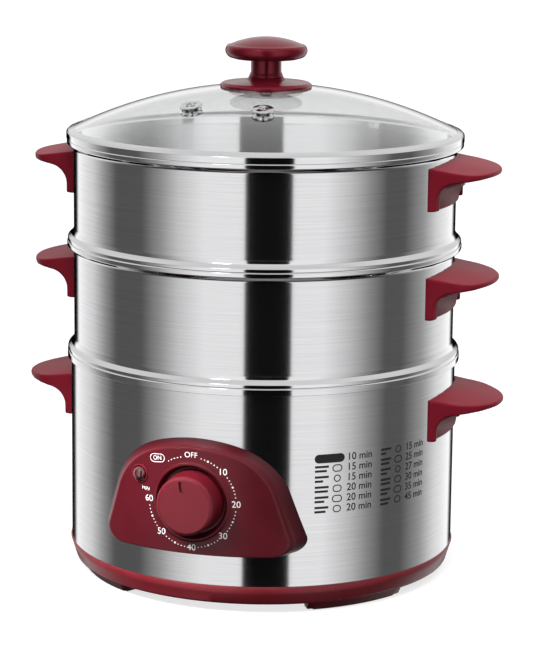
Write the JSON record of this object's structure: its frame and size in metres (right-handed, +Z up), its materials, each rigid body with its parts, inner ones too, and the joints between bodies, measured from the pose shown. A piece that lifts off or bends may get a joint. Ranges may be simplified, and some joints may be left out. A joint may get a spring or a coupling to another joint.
{
  "type": "electric food steamer",
  "caption": "Round electric food steamer: heated base with a dial timer and water pot, stacked perforated steel baskets with side handles, and a domed glass lid with a knob.",
  "frame": {"origin": "middle of the footprint on the table, on the axis of the round vessels", "axes": "+Z up; the control panel with the dial faces -Y, the power inlet +Y, and the side handles stand on +X and -X"},
  "size_m": [0.3544, 0.3269, 0.385],
  "materials": {
    "brushed_steel": "horizontally brushed stainless steel",
    "pressed_steel": "polished pressed stainless steel",
    "wine_plastic": "wine-red moulded plastic with a soft sheen",
    "knob_plastic": "wine-red moulded plastic with a soft sheen",
    "lid_glass": "clear tempered glass",
    "black_rubber": "matt black rubber",
    "vent_metal": "polished steel eyelet",
    "lamp_lens": "clear orange plastic",
    "lamp_bulb": "clear glass",
    "screw_steel": "zinc-plated steel",
    "cast_aluminium": "cast aluminium",
    "heater_sheath": "oxidised steel tube",
    "thermostat_metal": "aluminium can",
    "fuse_ceramic": "white sleeve",
    "timer_case": "ivory moulded plastic",
    "pin_brass": "bare brass",
    "washer_red": "red silicone"
  },
  "bodies": {
    "base": {"base_ring": "wine_plastic", "rubber_feet": "black_rubber", "bottom_cover": "pressed_steel", "bottom_screws": "screw_steel", "outer_housing": "brushed_steel", "water_pot": "pressed_steel", "pot_brackets": "pressed_steel", "stay_rods": "screw_steel", "stay_nuts": "screw_steel", "heating_plate": "cast_aluminium", "heating_element": "heater_sheath", "thermostat": "thermostat_metal", "thermal_fuse": "fuse_ceramic", "control_panel": "wine_plastic", "panel_screws": "screw_steel", "indicator_lens": "lamp_lens", "indicator_lamp": "lamp_bulb", "timer_body": "timer_case", "timer_screws": "screw_steel", "power_inlet": "wine_plastic", "inlet_pins": "pin_brass", "inlet_screws": "screw_steel", "base_handle_left": "wine_plastic", "base_handle_right": "wine_plastic", "base_handle_brackets": "pressed_steel", "base_handle_screws": "screw_steel"},
    "timer_dial": {"timer_knob": "knob_plastic", "timer_shaft": "screw_steel"},
    "middle_tier": {"middle_basket": "brushed_steel", "middle_handle_left": "wine_plastic", "middle_handle_right": "wine_plastic", "middle_handle_brackets": "pressed_steel", "middle_handle_screws": "screw_steel"},
    "upper_tier": {"upper_basket": "brushed_steel", "upper_handle_left": "wine_plastic", "upper_handle_right": "wine_plastic", "upper_handle_brackets": "pressed_steel", "upper_handle_screws": "screw_steel"},
    "lid": {"lid_glass": "lid_glass", "lid_rim": "pressed_steel", "lid_knob_base": "wine_plastic", "lid_knob": "wine_plastic", "lid_knob_screw": "screw_steel", "lid_knob_washer": "washer_red", "steam_vent_left": "vent_metal", "steam_vent_right": "vent_metal"}
  },
  "joints": [
    {"name": "timer_turn", "type": "hinge", "parent": "base", "child": "timer_dial", "pos_m": [-0.00733, -0.14982, 0.081], "axis": [0.0489, 0.9988, 0], "range_deg": [-35, 280]},
    {"name": "middle_basket_lift", "type": "slide", "parent": "base", "child": "middle_tier", "axis": [0, 0, 1], "range_m": [0, 0.15]},
    {"name": "upper_basket_lift", "type": "slide", "parent": "middle_tier", "child": "upper_tier", "axis": [0, 0, 1], "range_m": [0, 0.15]},
    {"name": "lid_lift", "type": "slide", "parent": "upper_tier", "child": "lid", "axis": [0, 0, 1], "range_m": [0, 0.15]}
  ]
}
